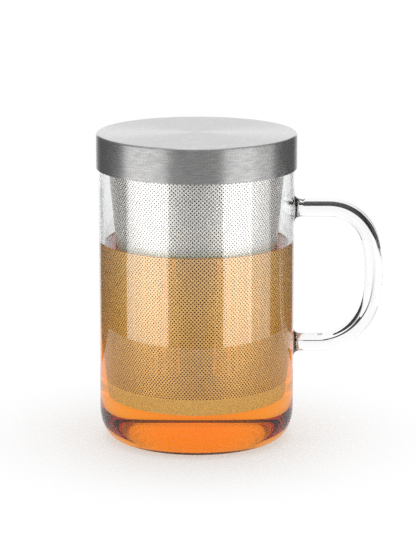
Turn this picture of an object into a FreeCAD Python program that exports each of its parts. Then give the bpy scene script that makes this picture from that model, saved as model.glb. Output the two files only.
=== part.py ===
import FreeCAD, Part
import math
import os

# A tea mug of clear glass with a rod handle, a perforated steel basket that hangs on its rim, and a
# steel cap that lifts off. Millimetres, +Z up. The origin is on the mug's axis, on the plane it
# stands on, and the handle points towards +X.

# Glass mug
mug_diameter = 85.0
mug_height = 131.0
mug_wall = 2.2
mug_floor = 2.4
base_round_width = 8.0
base_round_height = 13.0
inner_round_width = 5.8
inner_round_height = 10.6
rim_round = min(0.8, 0.4 * mug_wall)

# Rod handle. Heights and radii are those of the rod's centre line.
rod_diameter = 7.6
finger_depth = 31.2
upper_arm_below_rim = 29.2
arm_spacing = 60.1
upper_corner_radius = 18.7
lower_corner_radius = 23.7
bow_radius = 62.5
bow_above_lower_arm = 30.8
foot_diameter = 12.4
foot_length = 3.4

# Basket
basket_sheet = 0.5
basket_clearance = 0.6
basket_above_floor = 14.4
basket_taper = 0.092
floor_edge_height = 3.0
floor_edge_round = 0.8
collar_sheet = 0.5
neck_height = 8.0
flange_thickness = 0.6
flange_setback = 0.3
flange_round = 0.25
sheet_fit = 0.05

# Cap
lid_clearance = 0.4
lid_sheet = 0.6
lid_skirt_height = 15.3
lid_edge_round = 1.0
liner_sheet = 0.5
liner_setback = 0.5
plug_depth = 3.1
plug_clearance = 0.5
plug_round = 0.9
seal_height = 2.3
seal_round = 0.5

finest_arc = 1.0

# Radii and levels that several pieces share
mug_radius = mug_diameter / 2
bore_radius = mug_radius - mug_wall
flange_top = mug_height + flange_thickness
liner_level = flange_top + seal_height
lid_ceiling = liner_level + liner_sheet
lid_top = lid_ceiling + lid_sheet
basket_bottom = mug_floor + basket_above_floor
skirt_radius = mug_radius + lid_clearance
liner_radius = skirt_radius - liner_setback

upright = FreeCAD.Vector(0, 0, 1)
origin = FreeCAD.Vector(0, 0, 0)


def outline(*corners):
    """Closes a flat outline in the XZ plane.

    A corner is (x, z) if sharp, (x, z, radius) if rounded by an arc, and (x, z, back, ahead) if
    rounded by a quarter ellipse that starts back before the corner and ends ahead of it. A radius
    under finest_arc is cut as a flat bevel.
    """
    points = [FreeCAD.Vector(c[0], 0, c[1]) for c in corners]
    starts, ends, curves = [], [], []
    for i, corner in enumerate(corners):
        here = points[i]
        before = (points[i - 1] - here).normalize()
        after = (points[(i + 1) % len(points)] - here).normalize()
        half_angle = before.getAngle(after) / 2
        back = ahead = 0.0
        if len(corner) == 3:
            back = ahead = corner[2] / math.tan(half_angle)
        elif len(corner) == 4:
            back, ahead = corner[2:]
        start, end = here + before * back, here + after * ahead
        starts.append(start)
        ends.append(end)
        if len(corner) == 3 and corner[2] < finest_arc:
            curves.append([Part.makeLine(start, end)])
        elif len(corner) == 3:
            to_middle = corner[2] / math.sin(half_angle) - corner[2]
            middle = here + (before + after).normalize() * to_middle
            curves.append([Part.Arc(start, middle, end).toShape()])
        elif len(corner) == 4:
            centre = start + end - here
            longer, shorter = (start, end) if ahead >= back else (end, start)
            ellipse = Part.Ellipse(longer, shorter, centre)
            curves.append([Part.ArcOfEllipse(ellipse, 0, math.pi / 2).toShape()])
        else:
            curves.append([])
    edges = []
    for i, curve in enumerate(curves):
        edges += curve
        start_of_next = starts[(i + 1) % len(points)]
        if not ends[i].isEqual(start_of_next, 1e-7):
            edges.append(Part.makeLine(ends[i], start_of_next))
    return Part.Face(Part.Wire(edges))


def lathe(*corners):
    """Turns an outline once round the mug's axis."""
    return outline(*corners).revolve(origin, upright, 360)


def basket_radius(level):
    """Outer radius of the basket's tapered wall at a height above the table."""
    top_radius = bore_radius - basket_clearance - collar_sheet - sheet_fit
    return top_radius - basket_taper * (mug_height - level)


def basket_inner_radius(level):
    return basket_radius(level) - basket_sheet


def glass_body():
    """The mug: a straight wall, a thick floor and an elliptical round from wall to foot."""
    return lathe(
        (0, 0),
        (mug_radius, 0, base_round_width, base_round_height),
        (mug_radius, mug_height, rim_round),
        (bore_radius, mug_height, rim_round),
        (bore_radius, mug_floor, inner_round_height, inner_round_width),
        (0, mug_floor),
    )


def handle_centre_line(start_x, upper_level, lower_level):
    """Line, corner arc, long bow, corner arc, line: each tangent to the next."""
    bow_level = lower_level + bow_above_lower_arm
    bow_x = mug_radius + finger_depth + rod_diameter / 2 - bow_radius

    def corner(level, radius, side):
        """Centre of a corner arc inside the bow, and the points where it meets arm and bow."""
        centre_z = level - side * radius
        reach = bow_radius - radius
        rise = centre_z - bow_level
        centre_x = bow_x + math.sqrt(reach**2 - rise**2)
        arm_end = FreeCAD.Vector(centre_x, 0, level)
        spoke = FreeCAD.Vector(centre_x - bow_x, 0, rise).normalize()
        bow_end = FreeCAD.Vector(bow_x, 0, bow_level) + spoke * bow_radius
        centre = FreeCAD.Vector(centre_x, 0, centre_z)
        bisector = ((arm_end - centre).normalize() + spoke).normalize()
        return arm_end, centre + bisector * radius, bow_end

    upper_start, upper_middle, upper_end = corner(upper_level, upper_corner_radius, 1)
    lower_start, lower_middle, lower_end = corner(lower_level, lower_corner_radius, -1)
    outermost = FreeCAD.Vector(bow_x + bow_radius, 0, bow_level)
    return Part.Wire(
        [
            Part.makeLine(FreeCAD.Vector(start_x, 0, upper_level), upper_start),
            Part.Arc(upper_start, upper_middle, upper_end).toShape(),
            Part.Arc(upper_end, outermost, lower_end).toShape(),
            Part.Arc(lower_end, lower_middle, lower_start).toShape(),
            Part.makeLine(lower_start, FreeCAD.Vector(start_x, 0, lower_level)),
        ]
    )


def handle_foot(start_x, level):
    """The flare where the hot rod was pressed on: a trumpet about the arm's own axis."""
    rod_radius = rod_diameter / 2
    wall_x = mug_radius
    flare_end = wall_x + foot_length
    trumpet = outline(
        (start_x, 0),
        (flare_end + rod_radius, 0),
        (flare_end + rod_radius, rod_radius),
        (wall_x, rod_radius, foot_length, foot_diameter / 2 - rod_radius),
        (wall_x, foot_diameter / 2),
        (start_x, foot_diameter / 2),
    )
    foot = trumpet.revolve(origin, FreeCAD.Vector(1, 0, 0), 360)
    foot.translate(FreeCAD.Vector(0, 0, level))
    return foot


def glass_handle():
    """A bent rod with flared feet, ended on the mug's outer wall."""
    upper_level = mug_height - upper_arm_below_rim
    lower_level = upper_level - arm_spacing
    start_x = mug_radius - mug_wall / 2
    path = handle_centre_line(start_x, upper_level, lower_level)
    section = Part.makeCircle(
        rod_diameter / 2, FreeCAD.Vector(start_x, 0, upper_level), FreeCAD.Vector(1, 0, 0)
    )
    rod = path.makePipeShell([Part.Wire(section)], True, False)
    feet = [handle_foot(start_x, level) for level in (upper_level, lower_level)]
    mug_space = Part.makeCylinder(mug_radius, mug_height)
    return rod.fuse(feet).cut(mug_space).removeSplitter()


def infuser_wall():
    """The basket's wall: one tapered sheet from its bottom edge up through the collar."""
    return lathe(
        (basket_inner_radius(basket_bottom), basket_bottom),
        (basket_radius(basket_bottom), basket_bottom),
        (basket_radius(flange_top), flange_top),
        (basket_inner_radius(flange_top), flange_top),
    )


def infuser_floor():
    """A shallow pressed dish whose upturned edge is welded inside the foot of the wall."""

    def seat_radius(level):
        return basket_inner_radius(level) - sheet_fit

    edge_top = basket_bottom + floor_edge_height
    floor_top = basket_bottom + basket_sheet
    return lathe(
        (0, basket_bottom),
        (seat_radius(basket_bottom), basket_bottom, floor_edge_round),
        (seat_radius(edge_top), edge_top),
        (seat_radius(edge_top) - basket_sheet, edge_top),
        (seat_radius(floor_top) - basket_sheet, floor_top, floor_edge_round / 2),
        (0, floor_top),
    )


def infuser_collar():
    """A neck that hugs the top of the wall, and a flange that hangs on the glass rim."""

    def seat_radius(level):
        return basket_radius(level) + sheet_fit

    neck_bottom = mug_height - neck_height
    flange_radius = mug_radius - flange_setback
    return lathe(
        (seat_radius(neck_bottom), neck_bottom),
        (seat_radius(neck_bottom) + collar_sheet, neck_bottom),
        (seat_radius(mug_height) + collar_sheet, mug_height),
        (flange_radius, mug_height, flange_round),
        (flange_radius, flange_top, flange_round),
        (seat_radius(flange_top), flange_top),
    )


def lid_shell():
    """The brushed cap: a flat top, a small rounded edge and a skirt outside the glass."""
    skirt_bottom = lid_top - lid_skirt_height
    return lathe(
        (0, lid_ceiling),
        (skirt_radius, lid_ceiling),
        (skirt_radius, skirt_bottom),
        (skirt_radius + lid_sheet, skirt_bottom),
        (skirt_radius + lid_sheet, lid_top, lid_edge_round),
        (0, lid_top),
    )


def plug_radius():
    """Outer radius of the liner's plug, clear of the basket's mouth all the way down."""
    return basket_inner_radius(flange_top - plug_depth) - plug_clearance


def lid_liner():
    """The pan that closes the cap from below: a flange under the top, and a plug in the basket."""
    plug_bottom = flange_top - plug_depth
    return lathe(
        (0, plug_bottom),
        (plug_radius(), plug_bottom, plug_round),
        (plug_radius(), liner_level),
        (liner_radius, liner_level),
        (liner_radius, lid_ceiling),
        (plug_radius() - liner_sheet, lid_ceiling),
        (plug_radius() - liner_sheet, plug_bottom + liner_sheet, plug_round - liner_sheet),
        (0, plug_bottom + liner_sheet),
    )


def lid_seal():
    """The silicone ring round the plug, which sits on the basket's flange."""
    seal_radius = mug_radius - flange_setback
    return lathe(
        (plug_radius(), flange_top),
        (seal_radius, flange_top, seal_round),
        (seal_radius, liner_level, seal_round),
        (plug_radius(), liner_level),
    )


pieces = (
    glass_body,
    glass_handle,
    infuser_wall,
    infuser_floor,
    infuser_collar,
    lid_shell,
    lid_liner,
    lid_seal,
)

os.makedirs("parts", exist_ok=True)
for piece in pieces:
    solid = piece()
    solid.exportStep(f"parts/{piece.__name__}.step")
    print(piece.__name__, len(solid.Solids), solid.isValid(), round(solid.Volume, 1), solid.BoundBox)
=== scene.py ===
import math

import bmesh
import bpy
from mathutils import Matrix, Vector


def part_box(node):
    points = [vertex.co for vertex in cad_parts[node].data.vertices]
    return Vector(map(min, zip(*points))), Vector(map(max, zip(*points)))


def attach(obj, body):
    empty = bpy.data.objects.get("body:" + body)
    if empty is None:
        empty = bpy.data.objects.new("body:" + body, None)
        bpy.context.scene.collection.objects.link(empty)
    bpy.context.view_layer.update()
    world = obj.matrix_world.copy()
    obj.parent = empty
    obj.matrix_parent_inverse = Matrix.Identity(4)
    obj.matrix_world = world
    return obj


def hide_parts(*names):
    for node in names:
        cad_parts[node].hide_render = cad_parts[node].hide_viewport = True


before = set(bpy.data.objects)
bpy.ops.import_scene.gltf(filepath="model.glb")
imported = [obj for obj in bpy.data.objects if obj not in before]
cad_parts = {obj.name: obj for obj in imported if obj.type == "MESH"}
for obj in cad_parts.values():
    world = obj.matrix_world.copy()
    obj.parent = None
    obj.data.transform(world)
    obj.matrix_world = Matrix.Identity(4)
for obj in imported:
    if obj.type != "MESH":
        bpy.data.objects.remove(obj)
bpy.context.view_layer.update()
scene = bpy.context.scene
scene.view_settings.view_transform = "Standard"
scene.cycles.use_denoising = False
scene.cycles.max_bounces = 24
scene.cycles.transmission_bounces = 20
scene.cycles.glossy_bounces = 10
scene.cycles.transparent_max_bounces = 24


# Studio.
# The mug stands on a plain white table in front of a white backdrop. A tall soft box stands to the
# left of the camera and two to the right, the outer one dimmer. The rest of the room is dim, which
# gives glass and steel their bands. A soft box's values are its bearing, spread and share. Round
# the mug the table is darker, a painted shadow that fades out to full white; its real shadow adds to
# it.

view_target = Vector((0, 0, 0.067))
camera_distance = 1.15
camera_elevation = 0.220
picture_height_px = 555
focal_length_px = 2627
axis_left_of_middle_px = 11.4
target_below_middle_px = 8.0
sensor_mm = 36.0
softbox_distance = 1.3
softbox_span = (-0.33, 0.13)
softbox_radiance = 3.0
left_softbox = (-61, 56, 0.92)
right_softbox = (49, 36, 0.95)
right_softbox_edge = (80, 32, 0.55)
backdrop_edge = (0.89, 0.95)
backdrop_edge_through_glass = (0.35, 0.65)
backdrop_top = (0.70, 0.92)
backdrop_foot = (-0.31, -0.275)
overhead_edge = (0.2, 0.95)
overhead_level = 0.5
zenith_edge = (0.90, 0.985)
zenith_level = 0.8
near_side_level = 0.6
room_level = 0.12
dark_level = 0.02
white_light = (1, 1, 1, 1)
table_front = 0.24
table_back = 0.115
table_sides = 96
table_albedo = 0.75
table_lift = 0.47
table_lift_in_metal = 0.6
painted_shadow_fade = (0.035, 0.115)
table_drop = 0.0003
far_table_level = 0.4


class Knot:
    """One output of a node. Sums and products on it add Math nodes to its tree."""

    def __init__(self, tree, socket=None):
        self.tree = tree
        self.socket = socket

    def node(self, kind, settings=None, inputs=None):
        """Adds a node: its settings first, then the values or links of its sockets."""
        made = self.tree.nodes.new(kind)
        for name, value in (settings or {}).items():
            if name == "stops":
                stops = made.color_ramp.elements
                while len(stops) < len(value):
                    stops.new(1.0)
                for stop, (place, colour) in zip(stops, value):
                    stop.position = place
                    stop.color = (*colour, 1.0)
            else:
                setattr(made, name, value)
        for name, value in (inputs or {}).items():
            if isinstance(value, Knot):
                self.tree.links.new(value.socket, made.inputs[name])
            else:
                made.inputs[name].default_value = value
        return Knot(self.tree, made.outputs[0] if made.outputs else None)

    def out(self, name):
        """Another output of the same node."""
        return Knot(self.tree, self.socket.node.outputs[name])

    def into(self, node, name):
        self.tree.links.new(self.socket, node.inputs[name])

    def maths(self, operation, *values):
        inputs = dict(enumerate((self, *values)))
        return self.node("ShaderNodeMath", {"operation": operation}, inputs)

    def __add__(self, other):
        return self.maths("ADD", other)

    __radd__ = __add__

    def __mul__(self, other):
        return self.maths("MULTIPLY", other)

    __rmul__ = __mul__

    def __sub__(self, other):
        return self.maths("SUBTRACT", other)

    def __rsub__(self, other):
        return self * -1 + other

    def __truediv__(self, other):
        return self.maths("DIVIDE", other)

    def __rtruediv__(self, other):
        return self.maths("POWER", -1.0) * other

    def rise(self, low, high):
        """Nought below low, one above high, and a smooth rise between."""
        values = {"Value": self, "From Min": low, "From Max": high}
        return self.node("ShaderNodeMapRange", {"interpolation_type": "SMOOTHSTEP"}, values)

    def split(self):
        """The X, Y and Z of this vector."""
        parts = self.node("ShaderNodeSeparateXYZ", inputs={0: self})
        return parts.out("X"), parts.out("Y"), parts.out("Z")

    def noise(self, scale, detail):
        """Noise with this vector as its place."""
        values = {"Vector": self, "Scale": scale, "Detail": detail}
        return self.node("ShaderNodeTexNoise", inputs=values)


def blank_tree(holder, output_kind):
    """The emptied node tree of a material or world, and its output node."""
    holder.use_nodes = True
    holder.node_tree.nodes.clear()
    return Knot(holder.node_tree), holder.node_tree.nodes.new(output_kind)


def blank_material(name):
    """A new material, its emptied tree, its output node, and the place on the piece."""
    material = bpy.data.materials.new(name)
    tree, output = blank_tree(material, "ShaderNodeOutputMaterial")
    return material, tree, output, tree.node("ShaderNodeTexCoord").out("Object")


def placed(name, data):
    """A new object in the scene that holds a mesh, lamp or camera."""
    thing = bpy.data.objects.new(name, data)
    scene.collection.objects.link(thing)
    return thing


camera = placed("camera", bpy.data.cameras.new("camera"))
scene.camera = camera
camera.data.sensor_width = sensor_mm
camera.data.lens = focal_length_px * sensor_mm / picture_height_px
camera.data.shift_x = axis_left_of_middle_px / picture_height_px
camera.data.shift_y = target_below_middle_px / picture_height_px
towards_camera = Vector((0, -math.cos(camera_elevation), math.sin(camera_elevation)))
camera.location = view_target + towards_camera * camera_distance
camera.rotation_euler = (math.pi / 2 - camera_elevation, 0, 0)


def softbox(name, bearing, spread, share):
    """A soft box as bright as its share of softbox_radiance.

    Bearing and spread are degrees seen from the mug, and the bearing counts from the camera's side.
    """
    turn = math.radians(bearing)
    width = 2 * softbox_distance * math.tan(math.radians(spread) / 2)
    height = softbox_span[1] - softbox_span[0]
    lamp = bpy.data.lights.new(name, "AREA")
    lamp.shape = "RECTANGLE"
    lamp.size = width
    lamp.size_y = height
    lamp.energy = share * softbox_radiance * math.pi * width * height
    box = placed(name, lamp)
    place = Vector((math.sin(turn), -math.cos(turn), 0)) * softbox_distance
    box.location = place + Vector((0, 0, sum(softbox_span) / 2))
    box.rotation_euler = (-place).to_track_quat("-Z", "Y").to_euler()


softbox("left_softbox", *left_softbox)
softbox("right_softbox", *right_softbox)
softbox("right_softbox_edge", *right_softbox_edge)

room = bpy.data.worlds.new("room")
scene.world = room
tree, output = blank_tree(room, "ShaderNodeOutputWorld")
side, ahead, up = tree.node("ShaderNodeTexCoord").split()
level_ahead = ahead / (side * side + ahead * ahead).maths("SQRT")
rays = tree.node("ShaderNodeLightPath")
through_glass = rays.out("Is Transmission Ray")
behind = level_ahead.rise(*backdrop_edge_through_glass)
in_front = (-1 * level_ahead).rise(*backdrop_edge_through_glass) * near_side_level
wide = (behind + in_front) * through_glass
width = level_ahead.rise(*backdrop_edge).maths("MAXIMUM", wide)
backdrop = width * (1 - up.rise(*backdrop_top)) * up.rise(*backdrop_foot)
dim = room_level + through_glass * (dark_level - room_level)
overhead = up.rise(*overhead_edge) * overhead_level + up.rise(*zenith_edge) * zenith_level
level = (backdrop * (1 - dim) + dim + overhead).maths("MAXIMUM", rays.out("Is Camera Ray"))
light = tree.node("ShaderNodeBackground", inputs={"Color": white_light, "Strength": level})
light.into(output, "Surface")

table = placed("table", bpy.data.meshes.new("table"))
edge = []
for k in range(table_sides):
    turn = 2 * math.pi * k / table_sides
    back = min(-table_front * math.cos(turn), table_back)
    edge.append((table_front * math.sin(turn), back, -table_drop))
table.data.from_pydata(edge, [], [tuple(range(table_sides))])
white, tree, output, place = blank_material("white_table")
white.cycles.emission_sampling = "NONE"
table.data.materials.append(white)
rays = tree.node("ShaderNodeLightPath")
seen = rays.out("Is Camera Ray").maths("MAXIMUM", rays.out("Is Transmission Ray"))
seen = seen.maths("MAXIMUM", rays.out("Is Glossy Ray") * table_lift_in_metal)
spread = tree.node("ShaderNodeVectorMath", {"operation": "LENGTH"}, {0: place}).out("Value")
# Painted shadow: close to the mug the table shows only its lift and its diffuse light, darker than
# the full white it fades to further out; its real shadow adds to this.
far = spread.rise(*painted_shadow_fade)
matt = tree.node("ShaderNodeBsdfDiffuse", inputs={"Color": (table_albedo,) * 3 + (1,)})
near_glow = {"Color": white_light, "Strength": seen * table_lift}
far_glow = {"Color": white_light, "Strength": seen * (1 - far_table_level) + far_table_level}
lift = tree.node("ShaderNodeEmission", inputs=near_glow)
near_table = tree.node("ShaderNodeAddShader", inputs={0: matt, 1: lift})
far_table = tree.node("ShaderNodeEmission", inputs=far_glow)
table_shader = tree.node("ShaderNodeMixShader", inputs={0: far, 1: near_table, 2: far_table})
table_shader.into(output, "Surface")


# Glass mug.
# A blown borosilicate cylinder with an even wall and a fire-polished rim. The handle is a bent rod
# whose two ends were pressed on hot, so body and rod are one clear piece with flared feet. The tea's
# level and index stand here because they set which part of the glass is wetted.

mug_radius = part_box("glass_body")[1].y
mug_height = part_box("glass_body")[1].z
mug_wall = 0.0022
mug_floor = 0.0024
base_round = (0.0080, 0.0130)
inner_round = (0.0058, 0.0106)
rim_round = 0.0010
rod_radius = 0.0038
upper_arm = 0.1018
lower_arm = 0.0417
upper_corner = 0.0187
lower_corner = 0.0237
bow_radius = 0.0625
bow_level = 0.0725
foot_radius = 0.0062
foot_length = 0.0034
bore_radius = mug_radius - mug_wall
glass_tint = (0.992, 0.997, 0.997, 1)
glass_shadow_tint = (0.94, 0.95, 0.95, 1)
sheen = 0.25
sheen_foot = (0.020, 0.036)
sheen_index = 1.7
sheen_roughness = 0.02
wave_scale = 38.0
wave_height = 0.05
smear_scale = 160.0
smear_edge = (0.55, 0.9)
smear_roughness = 0.03
dent_scale = 520.0
dent_height = 0.9
relief_depth = 0.0006
dents_begin = (0, 0.0006)
dents_end = (0.0030, 0.0050)
dents_round_arm = (0.0060, 0.0080)
glass_index = 1.474
tea_index = 1.333
tea_level = 0.0873
creep_height = 0.0005
wetted_floor_below = 0.02
glass_mesh_step = 0.004


def profile(*corners, steps=12):
    """Points of an outline through corners (r, z), (r, z, radius) or (r, z, back, ahead).

    The last two are rounded by an arc, and by a quarter ellipse that starts back before the corner
    and ends ahead of it.
    """
    points = []
    for i, corner in enumerate(corners):
        here = Vector(corner[:2])
        if len(corner) == 2:
            points.append(here)
            continue
        before = (Vector(corners[i - 1][:2]) - here).normalized()
        after = (Vector(corners[(i + 1) % len(corners)][:2]) - here).normalized()
        half_angle = before.angle(after) / 2
        if len(corner) == 3:
            back = ahead = corner[2] / math.tan(half_angle)
        else:
            back, ahead = corner[2:]
        start, end = here + before * back, here + after * ahead
        weight = math.sin(half_angle)
        for k in range(steps + 1):
            t = k / steps
            parts = (1 - t) ** 2, 2 * weight * t * (1 - t), t**2
            points.append((start * parts[0] + here * parts[1] + end * parts[2]) / sum(parts))
    return points


def filled(points, longest):
    """The same closed outline with its long straight runs cut into shorter ones."""
    more = []
    for here, there in zip(points, points[1:] + points[:1]):
        on_axis = here.x == there.x == 0
        pieces = 1 if on_axis else max(1, math.ceil((there - here).length / longest))
        more += [here.lerp(there, k / pieces) for k in range(pieces)]
    return more


def on_circle(radius, turn, level):
    """A point round the mug's axis."""
    return radius * math.cos(turn), radius * math.sin(turn), level


def settled(shape, mesh):
    """Turns a shape's faces outwards and writes it into a mesh."""
    bmesh.ops.recalc_face_normals(shape, faces=shape.faces)
    shape.to_mesh(mesh)
    shape.free()


def smoothed(mesh, sharp_degrees=32):
    """Shades a mesh smooth, with its real corners kept sharp."""
    mesh.shade_smooth()
    mesh.set_sharp_from_angle(angle=math.radians(sharp_degrees))


def turned(name, points, steps=192):
    """A closed outline turned once round the mug's axis."""
    mesh = bpy.data.meshes.new(name)
    shape = bmesh.new()
    rings = []
    for point in points:
        if point.x < 1e-7:
            rings.append([shape.verts.new((0, 0, point.y))] * steps)
            continue
        turns = [2 * math.pi * k / steps for k in range(steps)]
        rings.append([shape.verts.new(on_circle(point.x, turn, point.y)) for turn in turns])
    for here, there in zip(rings, rings[1:] + rings[:1]):
        for k in range(steps):
            following = (k + 1) % steps
            corners = dict.fromkeys((here[k], here[following], there[following], there[k]))
            if len(corners) > 2:
                shape.faces.new(list(corners))
    settled(shape, mesh)
    smoothed(mesh)
    return placed(name, mesh)


def bar(shape, rings):
    """Joins rings of points, one after another, into a bar with two closed ends."""
    sides = len(rings[0])
    for here, there in zip(rings, rings[1:]):
        for k in range(sides):
            following = (k + 1) % sides
            shape.faces.new((here[k], here[following], there[following], there[k]))
    shape.faces.new(rings[0])
    shape.faces.new(rings[-1])


def handle_line(start_x, steps=26):
    """Points along the rod's centre line: arm, corner, long bow, corner, arm."""
    bow_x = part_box("glass_handle")[1].x - rod_radius - bow_radius
    points = []

    def corner(level, radius, side):
        """Centre of a corner's arc, and the turn at which it meets the bow."""
        centre_z = level - side * radius
        rise = centre_z - bow_level
        centre_x = bow_x + math.sqrt((bow_radius - radius) ** 2 - rise**2)
        return centre_x, centre_z, math.atan2(rise, centre_x - bow_x)

    def arc(centre_x, centre_z, radius, first, last):
        for k in range(steps + 1):
            turn = first + (last - first) * k / steps
            x = centre_x + radius * math.cos(turn)
            points.append(Vector((x, 0, centre_z + radius * math.sin(turn))))

    upper_x, upper_z, upper_turn = corner(upper_arm, upper_corner, 1)
    lower_x, lower_z, lower_turn = corner(lower_arm, lower_corner, -1)
    arm_steps = 3 * steps
    for k in range(arm_steps):
        points.append(Vector((start_x + (upper_x - start_x) * k / arm_steps, 0, upper_arm)))
    arc(upper_x, upper_z, upper_corner, math.pi / 2, upper_turn)
    points.pop()
    arc(bow_x, bow_level, bow_radius, upper_turn, lower_turn)
    points.pop()
    arc(lower_x, lower_z, lower_corner, lower_turn, -math.pi / 2)
    for k in range(1, arm_steps + 1):
        points.append(Vector((lower_x + (start_x - lower_x) * k / arm_steps, 0, lower_arm)))
    return points


def rod_radius_at(point):
    """The rod's radius, with the trumpet flare where it meets the wall."""
    along = (point.x - mug_radius) / foot_length
    if along >= 1:
        return rod_radius
    flare = 1 - math.sqrt(max(0.0, 1 - (1 - max(along, 0.0)) ** 2))
    return rod_radius + (foot_radius - rod_radius) * flare


def rod_mesh(name, points, sides=48):
    """A closed tube along points in the XZ plane."""
    mesh = bpy.data.meshes.new(name)
    shape = bmesh.new()
    rings = []
    across = Vector((0, 1, 0))
    for i, point in enumerate(points):
        along = (points[min(i + 1, len(points) - 1)] - points[max(i - 1, 0)]).normalized()
        up = along.cross(across)
        radius = rod_radius_at(point)
        ring = []
        for k in range(sides):
            turn = 2 * math.pi * k / sides
            spoke = across * math.cos(turn) + up * math.sin(turn)
            ring.append(shape.verts.new(point + spoke * radius))
        rings.append(ring)
    bar(shape, rings)
    settled(shape, mesh)
    return placed(name, mesh)


def applied(piece):
    """Puts a piece's modifiers into its mesh."""
    graph = bpy.context.evaluated_depsgraph_get()
    mesh = bpy.data.meshes.new_from_object(piece.evaluated_get(graph))
    piece.modifiers.clear()
    piece.data = mesh
    return piece


mug_outline = profile(
    (0, 0),
    (mug_radius, 0, *base_round),
    (mug_radius, mug_height, rim_round),
    (bore_radius, mug_height, rim_round),
    (bore_radius, tea_level + creep_height),
    (bore_radius, mug_floor, inner_round[1], inner_round[0]),
    (0, mug_floor),
)
mug = turned("glass_mug", filled(mug_outline, glass_mesh_step))
rod = rod_mesh("rod", handle_line(mug_radius - mug_wall / 2))
fuse = mug.modifiers.new("fuse", "BOOLEAN")
fuse.operation = "UNION"
fuse.solver = "EXACT"
fuse.object = rod
applied(mug)
bpy.data.objects.remove(rod)
smoothed(mug.data, 50)


def lamp_clear(tree, output, surface, tint):
    """Lets lamps through clear material, and closes the shader with it."""
    shadow = tree.node("ShaderNodeLightPath").out("Is Shadow Ray")
    through = tree.node("ShaderNodeBsdfTransparent", inputs={"Color": tint})
    mixed = tree.node("ShaderNodeMixShader", inputs={0: shadow, 1: surface, 2: through})
    mixed.into(output, "Surface")


def clear_glass(name, index):
    """Clear glass with faint waves and smears, and small dents where the rod was pressed on."""
    material, tree, output, place = blank_material(name)
    waves = place.noise(wave_scale, 1.0)
    smears = place.noise(smear_scale, 3.0)
    dents = place.noise(dent_scale, 1.0)
    x, _, z = place.split()
    begin, end = ([mug_radius + reach for reach in zone] for zone in (dents_begin, dents_end))
    near_wall = x.rise(*begin) * (1 - x.rise(*end))
    off_upper = (z - upper_arm).maths("ABSOLUTE")
    off_arms = off_upper.maths("MINIMUM", (z - lower_arm).maths("ABSOLUTE"))
    joins = near_wall * (1 - off_arms.rise(*dents_round_arm))
    height = waves * wave_height + joins * dents * dent_height
    relief = {"Strength": 1.0, "Distance": relief_depth, "Height": height}
    glass = tree.node(
        "ShaderNodeBsdfPrincipled",
        inputs={
            "Base Color": glass_tint,
            "Roughness": smears.rise(*smear_edge) * smear_roughness,
            "IOR": index,
            "Transmission Weight": 1.0,
            "Coat Weight": z.rise(*sheen_foot) * sheen,
            "Coat IOR": sheen_index,
            "Coat Roughness": sheen_roughness,
            "Normal": tree.node("ShaderNodeBump", inputs=relief),
        },
    )
    lamp_clear(tree, output, glass, glass_shadow_tint)
    return material


mug.data.materials.clear()
mug.data.materials.append(clear_glass("clear_glass", glass_index))
mug.data.materials.append(clear_glass("wetted_glass", glass_index / tea_index))
for face in mug.data.polygons:
    outwards = face.normal.x * face.center.x + face.normal.y * face.center.y
    inner_wall = outwards < -0.0001
    inner_floor = face.normal.z > 0.5 and face.center.z < wetted_floor_below
    below_tea = face.center.z < tea_level + creep_height
    face.material_index = int((inner_wall or inner_floor) and below_tea)
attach(mug, "mug")
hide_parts("glass_body", "glass_handle")


# Tea.
# Clear orange tea fills the mug to below the upper handle foot and creeps up the glass at its edge.
# It reaches a hair into the wall, so that light passes from tea to glass with no air between.

creep_width = 0.0015
creep_steps = 8
tea_lap = 0.0004
tea_tint = (0.26, 0.55, 0.70, 1)
tea_edge_tint = (1.0, 0.89, 0.88, 1)
tea_shadow_tint = (1.0, 0.97, 0.92, 1)
tea_colour = (0.998, 0.815, 0.14, 1)
tea_density = 80.0
tea_margin = 0.0001
tea_mesh_step = 0.006

creep = []
for k in range(creep_steps + 1):
    share = k / creep_steps
    level = tea_level + creep_height * (1 - share) ** 3
    creep.append(Vector((bore_radius - creep_width * share, level)))
tea_outline = profile(
    (0, mug_floor - tea_lap),
    (bore_radius + tea_lap, mug_floor - tea_lap, *inner_round),
    (bore_radius + tea_lap, tea_level + creep_height),
)
tea = turned("tea", filled(tea_outline + creep + [Vector((0, tea_level))], tea_mesh_step))


def clear_tea():
    """A clear liquid that takes out blue and some green with depth."""
    material, tree, output, place = blank_material("clear_tea")
    x, y, z = place.split()
    radius = (x * x + y * y).maths("SQRT")
    free = radius.maths("LESS_THAN", bore_radius + tea_margin)
    free = free * z.maths("GREATER_THAN", tea_level - tea_margin)
    top = tree.node(
        "ShaderNodeBsdfPrincipled",
        inputs={
            "Base Color": tea_tint,
            "Roughness": 0.0,
            "IOR": tea_index,
            "Transmission Weight": 1.0,
        },
    )
    passing = tree.node("ShaderNodeBsdfTransparent", inputs={"Color": tea_edge_tint})
    liquid = tree.node("ShaderNodeMixShader", inputs={0: free, 1: passing, 2: top})
    absorbed = {"Color": tea_colour, "Density": tea_density}
    depth = tree.node("ShaderNodeVolumeAbsorption", inputs=absorbed)
    lamp_clear(tree, output, liquid, tea_shadow_tint)
    depth.into(output, "Volume")
    return material


tea.data.materials.append(clear_tea())
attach(tea, "mug")


# Basket.
# The wall is thin stainless sheet, etched with staggered rows of round holes, rolled to a taper and
# welded. Its foot is left plain. A pressed floor with the same holes, set wider, closes it, and a
# collar hangs it on the glass rim.

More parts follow.
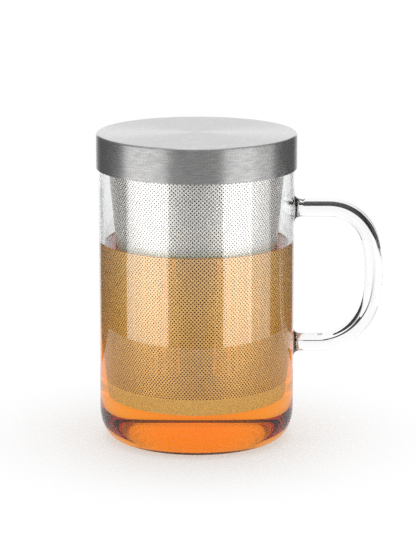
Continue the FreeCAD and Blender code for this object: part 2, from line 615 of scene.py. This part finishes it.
basket_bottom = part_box("infuser_wall")[0].z
basket_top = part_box("infuser_wall")[1].z
basket_top_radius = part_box("infuser_wall")[1].y
basket_taper = 0.092
basket_sheet = 0.0004
plain_foot = 0.0065
holes_round = 136
row_step = 0.000867
hole_radius = 0.000375
wall_bands = 4
band_rows = 28
first_row = basket_bottom + plain_foot + row_step
merge_distance = 0.00002
whole_row_margin = 0.0005
neck_height = 0.0080
flange_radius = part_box("infuser_collar")[1].y
outer_steel_colour = (0.79, 0.77, 0.74, 1)
painted_shade_inner_colour = (0.30, 0.29, 0.28, 1)
cloud_scale = 90.0
cloud_roughness = 0.10
steel_roughness = 0.48


def basket_radius(level):
    """Outer radius of the basket's wall at a height above the table."""
    return basket_top_radius - basket_taper * (basket_top - level)


def hole_cell():
    """One diamond of sheet round one eight-sided hole, in units of pitch and row step."""
    mesh = bpy.data.meshes.new("hole_cell")
    diamond = [(0.5, 0), (0, 1), (-0.5, 0), (0, -1)]
    ring = [(math.cos(k * math.pi / 4), math.sin(k * math.pi / 4)) for k in range(8)]
    faces = []
    for side in range(4):
        this_corner, next_corner = side, (side + 1) % 4
        first, middle, last = (4 + (2 * side + k) % 8 for k in range(3))
        faces += [(this_corner, middle, first), (this_corner, next_corner, middle)]
        faces.append((next_corner, last, middle))
    mesh.from_pydata([(x, y, 0) for x, y in diamond + ring], [], faces)
    flag = mesh.attributes.new("on_hole", "FLOAT", "POINT")
    flag.data.foreach_set("value", [0.0] * 4 + [1.0] * 8)
    return mesh


def etched_wall_tree():
    """Lays the cell of one hole over a tapered wall, each row shifted by half a pitch."""
    tree = bpy.data.node_groups.new("etched_wall", "GeometryNodeTree")
    sockets = tree.interface
    sockets.new_socket("Cell", in_out="INPUT", socket_type="NodeSocketGeometry")
    for name in ("Holes round", "Rows"):
        sockets.new_socket(name, in_out="INPUT", socket_type="NodeSocketInt")
    for name in ("Row step", "Hole radius", "First row", "First radius", "Taper"):
        sockets.new_socket(name, in_out="INPUT", socket_type="NodeSocketFloat")
    sockets.new_socket("Finish", in_out="INPUT", socket_type="NodeSocketMaterial")
    sockets.new_socket("Sheet", in_out="OUTPUT", socket_type="NodeSocketGeometry")
    start = Knot(tree)
    given = start.node("NodeGroupInput")
    around, rows = given.out("Holes round"), given.out("Rows")
    index = start.node("GeometryNodeInputIndex")
    row = (index / around + whole_row_margin).maths("FLOOR")
    column = index - row * around
    line = {"Count": around * rows, "Offset": (0, 0, 0)}
    points = start.node("GeometryNodeMeshLine", inputs=line)
    for name, value in (("row", row), ("column", column)):
        keep = {"Geometry": points, "Name": name, "Value": value}
        points = start.node("GeometryNodeStoreNamedAttribute", {"data_type": "FLOAT"}, keep)
    laid = {"Points": points, "Instance": given.out("Cell")}
    cells = start.node("GeometryNodeInstanceOnPoints", inputs=laid)
    sheet = start.node("GeometryNodeRealizeInstances", inputs={"Geometry": cells})

    def stored(name):
        kept = {"Name": name}
        field = start.node("GeometryNodeInputNamedAttribute", {"data_type": "FLOAT"}, kept)
        return field.out("Attribute")

    row, column, on_hole = stored("row"), stored("column"), stored("on_hole")
    across, along, _ = start.node("GeometryNodeInputPosition").split()
    hole, step = given.out("Hole radius"), given.out("Row step")
    pitch = 2 * math.pi / around
    height = row * step + along * (on_hole * (hole - step) + step)
    radius = given.out("First radius") + given.out("Taper") * height
    reach = on_hole * (hole / radius - pitch) + pitch
    turn = (column + row.maths("MODULO", 2.0) * 0.5) * pitch + across * reach
    place = start.node(
        "ShaderNodeCombineXYZ",
        inputs={
            "X": radius * turn.maths("COSINE"),
            "Y": radius * turn.maths("SINE"),
            "Z": height + given.out("First row"),
        },
    )
    rolled = {"Geometry": sheet, "Position": place}
    sheet = start.node("GeometryNodeSetPosition", inputs=rolled)
    joined = {"Geometry": sheet, "Distance": merge_distance}
    sheet = start.node("GeometryNodeMergeByDistance", inputs=joined)
    finished = {"Geometry": sheet, "Material": given.out("Finish")}
    sheet = start.node("GeometryNodeSetMaterial", inputs=finished)
    sheet.into(tree.nodes.new("NodeGroupOutput"), "Sheet")
    return tree


def grown(name, cell, group, values):
    """A plain mesh of what a Geometry Nodes group makes of a cell, with its inputs set by name."""
    piece = placed(name, cell)
    modifier = piece.modifiers.new("pattern", "NODES")
    modifier.node_group = group
    for socket in group.interface.items_tree:
        if socket.in_out == "INPUT" and socket.name in values:
            modifier[socket.identifier] = values[socket.name]
    return applied(piece)


def clouded_steel(name, colour):
    """Satin stainless sheet with faint clouds in its finish."""
    material, tree, output, place = blank_material(name)
    clouds = place.noise(cloud_scale, 2.0)
    steel = tree.node(
        "ShaderNodeBsdfPrincipled",
        inputs={
            "Base Color": colour,
            "Metallic": 1.0,
            "Roughness": clouds * cloud_roughness + steel_roughness,
        },
    )
    steel.into(output, "Surface")
    return material


satin_steel = clouded_steel("satin_steel", outer_steel_colour)
# Painted shade: the inner side of the sheet is much darker steel, standing in for the shade inside
# the basket.
painted_shade_steel = clouded_steel("painted_shade_steel", painted_shade_inner_colour)


def add_plain_edge(mesh, level, shift, side, end):
    """Closes a toothed edge of the etched field with the plain sheet beyond it."""
    shape = bmesh.new()
    shape.from_mesh(mesh)
    pitch = 2 * math.pi / holes_round

    def point(column, level):
        return shape.verts.new(on_circle(basket_radius(level), column * pitch, level))

    tooth = level + side * row_step
    for k in range(holes_round):
        column = k + shift
        notch = point(column + 0.5, level)
        left, right = point(column, tooth), point(column + 1, tooth)
        low_left, low_right = point(column, end), point(column + 1, end)
        shape.faces.new((notch, left, right))
        shape.faces.new((left, low_left, low_right, right))
    bmesh.ops.remove_doubles(shape, verts=shape.verts, dist=merge_distance)
    settled(shape, mesh)


def given_gauge(piece, thickness):
    """Gives an etched sheet its thickness, with much darker steel on its inner side as painted
    shade.
    """
    gauge = piece.modifiers.new("gauge", "SOLIDIFY")
    gauge.thickness = thickness
    gauge.offset = -1
    gauge.material_offset = 1
    piece.data.materials.append(painted_shade_steel)
    applied(piece)
    smoothed(piece.data, 40)


etched_wall = etched_wall_tree()
for band in range(wall_bands):
    band_foot = first_row + band * band_rows * row_step
    wall = grown(
        f"basket_wall_{band + 1}",
        hole_cell(),
        etched_wall,
        {
            "Holes round": holes_round,
            "Rows": band_rows,
            "Row step": row_step,
            "Hole radius": hole_radius,
            "First row": band_foot,
            "First radius": basket_radius(band_foot),
            "Taper": basket_taper,
            "Finish": satin_steel,
        },
    )
    if band == 0:
        add_plain_edge(wall.data, band_foot, 0, -1, basket_bottom)
    if band == wall_bands - 1:
        add_plain_edge(wall.data, band_foot + (band_rows - 1) * row_step, 0.5, 1, basket_top)
    given_gauge(wall, basket_sheet)
    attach(wall, "infuser")
    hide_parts("infuser_wall")

seam_width = 0.012
seam_gap = 0.00002
seam_foot = basket_bottom + 0.0035


def seam_strip(steps=16):
    """The plain strip inside the wall, over its butt joint, on the side away from the camera."""
    mesh = bpy.data.meshes.new("basket_seam")
    shape = bmesh.new()
    corners = ((seam_foot, 0), (basket_top, 0), (basket_top, 1), (seam_foot, 1))
    rings = []
    for k in range(steps + 1):
        turn = math.pi / 2 + (k / steps - 0.5) * seam_width / basket_top_radius
        ring = []
        for level, depth in corners:
            radius = basket_radius(level) - basket_sheet * (1 + depth) - seam_gap
            ring.append(shape.verts.new(on_circle(radius, turn, level)))
        rings.append(ring)
    bar(shape, rings)
    settled(shape, mesh)
    smoothed(mesh)
    return placed("basket_seam", mesh)


seam = seam_strip()
# The strip is in the darkened steel, painted shade as on the inner side of the wall.
seam.data.materials.append(painted_shade_steel)
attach(seam, "infuser")
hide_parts("infuser_wall")

floor_edge = 0.003
floor_gap = 0.0001
floor_round = 0.0008
floor_inner_round = 0.0004
floor_radius = basket_radius(basket_bottom) - basket_sheet - floor_gap
floor_edge_radius = floor_radius + basket_taper * floor_edge
etched_reach = 0.0266
plain_ring = 0.0262
floor_pitch = 2 * row_step / math.sqrt(3) * 1.5
plate_inset = 0.00005
floor_outline = profile(
    (plain_ring, basket_bottom),
    (floor_radius, basket_bottom, floor_round),
    (floor_edge_radius, basket_bottom + floor_edge),
    (floor_edge_radius - basket_sheet, basket_bottom + floor_edge),
    (floor_radius - basket_sheet, basket_bottom + basket_sheet, floor_inner_round),
    (plain_ring, basket_bottom + basket_sheet),
)
floor_rim = turned("basket_floor_rim", floor_outline)
floor_rim.data.materials.append(satin_steel)
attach(floor_rim, "infuser")
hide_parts("infuser_floor")


def etched_disc(name, level, reach, pitch):
    """A flat round of the etched sheet. Its toothed edge lies inside the floor's plain ring."""
    cell = hole_cell()
    on_hole = [flag.value > 0.5 for flag in cell.attributes["on_hole"].data]
    corners = [vertex.co for vertex in cell.vertices]
    triangles = [tuple(face.vertices) for face in cell.polygons]
    points, faces = [], []
    last = math.ceil(reach / row_step)
    for row in range(-last, last + 1):
        for column in range(-last, last + 1):
            centre = Vector(((column + 0.5 * (row % 2)) * pitch, row * row_step, level))
            if centre.xy.length > reach:
                continue
            first = len(points)
            for corner, is_hole in zip(corners, on_hole):
                scale = (hole_radius, hole_radius) if is_hole else (pitch, row_step)
                points.append(centre + Vector((corner.x * scale[0], corner.y * scale[1], 0)))
            faces += [tuple(first + k for k in triangle) for triangle in triangles]
    mesh = bpy.data.meshes.new(name)
    mesh.from_pydata(points, [], faces)
    shape = bmesh.new()
    shape.from_mesh(mesh)
    bmesh.ops.remove_doubles(shape, verts=shape.verts, dist=merge_distance)
    settled(shape, mesh)
    return placed(name, mesh)


plate_top = basket_bottom + basket_sheet - plate_inset
floor_plate = etched_disc("basket_floor", plate_top, etched_reach, floor_pitch)
floor_plate.data.materials.append(satin_steel)
given_gauge(floor_plate, basket_sheet - 2 * plate_inset)
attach(floor_plate, "infuser")
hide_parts("infuser_floor")

neck_bottom = mug_height - neck_height
collar_sheet = 0.0005
sheet_fit = 0.00005
flange_round = 0.00028
collar_outline = profile(
    (basket_radius(neck_bottom) + sheet_fit, neck_bottom),
    (basket_radius(neck_bottom) + sheet_fit + collar_sheet, neck_bottom),
    (basket_radius(mug_height) + sheet_fit + collar_sheet, mug_height),
    (flange_radius, mug_height, flange_round),
    (flange_radius, basket_top, flange_round),
    (basket_radius(basket_top) + sheet_fit, basket_top),
    steps=5,
)
collar = turned("basket_collar", collar_outline)
collar.data.materials.append(satin_steel)
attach(collar, "infuser")
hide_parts("infuser_collar")


# Cap.
# A spun steel cap: its top is finished on the lathe in fine rings, and its skirt is brushed round.
# A plain pan under it carries a silicone ring, which sits on the basket's flange. Scratches and
# streaks are noise, whose three scales count round the axis, outwards and upwards.

lid_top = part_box("lid_shell")[1].z
skirt_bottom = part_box("lid_shell")[0].z
lid_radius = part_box("lid_shell")[1].y
lid_sheet = 0.0006
lid_edge_round = 0.0011
lid_inner_round = 0.0005
skirt_edge_round = 0.0002
lid_mesh_step = 0.006
scratch_scales = (3.0, 9000.0, 9000.0)
streak_scales = (9.0, 900.0, 1500.0)
dark_streak = (0.57, 0.57, 0.57)
light_streak = (0.78, 0.77, 0.76)
painted_top_shade = 0.22
scratch_roughness = 0.10
skirt_roughness = 0.40
top_smoother = 0.23
lid_outline = profile(
    (0, lid_top - lid_sheet),
    (lid_radius - lid_sheet, lid_top - lid_sheet, lid_inner_round),
    (lid_radius - lid_sheet, skirt_bottom),
    (lid_radius, skirt_bottom, skirt_edge_round),
    (lid_radius, lid_top, lid_edge_round),
    (0, lid_top),
    steps=8,
)
lid = turned("lid_shell", filled(lid_outline, lid_mesh_step), steps=256)


def brushed_cap():
    """Steel with fine round scratches: rings on the top, level lines on the skirt, and painted shade
    darkening the top.
    """
    material, tree, output, place = blank_material("brushed_cap")
    x, y, z = place.split()
    ring = (x * x + y * y).maths("SQRT")
    turn = y.maths("ARCTAN2", x)

    def drawn_round(scales, detail):
        """Noise drawn out round the axis."""
        track = {"X": turn * scales[0], "Y": ring * scales[1], "Z": z * scales[2]}
        return tree.node("ShaderNodeCombineXYZ", inputs=track).noise(1.0, detail)

    scratches = drawn_round(scratch_scales, 3.0)
    on_top = z.rise(lid_top - lid_edge_round, lid_top - 0.0001)
    streaks = drawn_round(streak_scales, 2.0)
    stops = ((0.3, dark_streak), (0.7, light_streak))
    # Painted shade: the top's colour is pushed towards the dark streak colour, so the top reads
    # darker than the skirt.
    shade = tree.node("ShaderNodeValToRGB", {"stops": stops}, {0: streaks - on_top * painted_top_shade})
    roughness = scratches * scratch_roughness + skirt_roughness - on_top * top_smoother
    steel = tree.node(
        "ShaderNodeBsdfPrincipled",
        inputs={
            "Base Color": shade,
            "Metallic": 1.0,
            "Roughness": roughness,
            "Anisotropic": 0.9,
            "Anisotropic Rotation": 0.25,
        },
    )
    steel.into(output, "Surface")
    return material


lid.data.materials.append(brushed_cap())
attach(lid, "lid")
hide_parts("lid_shell")

plug_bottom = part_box("lid_liner")[0].z
liner_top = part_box("lid_liner")[1].z
liner_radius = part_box("lid_liner")[1].y
liner_sheet = 0.0005
seal_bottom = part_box("lid_seal")[0].z
seal_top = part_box("lid_seal")[1].z
seal_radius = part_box("lid_seal")[1].y
seal_gap = 0.0001
seal_round = 0.0005
silicone_colour = (0.80, 0.81, 0.80, 1)
dust_scale = 700.0
plug_round = 0.0012
plug_inner_round = 0.0007
mouth_sheet = 0.0005
plug_clearance = 0.0005
plug_radius = basket_radius(plug_bottom) - mouth_sheet - plug_clearance
pan_outline = profile(
    (0, plug_bottom),
    (plug_radius, plug_bottom, plug_round),
    (plug_radius, seal_top),
    (liner_radius, seal_top),
    (liner_radius, liner_top),
    (plug_radius - liner_sheet, liner_top),
    (plug_radius - liner_sheet, plug_bottom + liner_sheet, plug_inner_round),
    (0, plug_bottom + liner_sheet),
    steps=6,
)
pan = turned("lid_pan", pan_outline)
pan.data.materials.append(satin_steel)
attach(pan, "lid")
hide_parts("lid_liner")

seal_outline = profile(
    (plug_radius + seal_gap, seal_bottom),
    (seal_radius, seal_bottom, seal_round),
    (seal_radius, seal_top, seal_round),
    (plug_radius + seal_gap, seal_top),
    steps=5,
)
seal = turned("lid_seal", seal_outline)


def soft_silicone():
    """Milky silicone with a dusty, slightly uneven skin."""
    material, tree, output, place = blank_material("soft_silicone")
    dust = place.noise(dust_scale, 3.0)
    relief = {"Strength": 0.2, "Distance": 0.00005, "Height": dust}
    skin = tree.node(
        "ShaderNodeBsdfPrincipled",
        inputs={
            "Base Color": silicone_colour,
            "Roughness": dust * 0.25 + 0.40,
            "Normal": tree.node("ShaderNodeBump", inputs=relief),
        },
    )
    skin.into(output, "Surface")
    return material


seal.data.materials.append(soft_silicone())
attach(seal, "lid")
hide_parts("lid_seal")
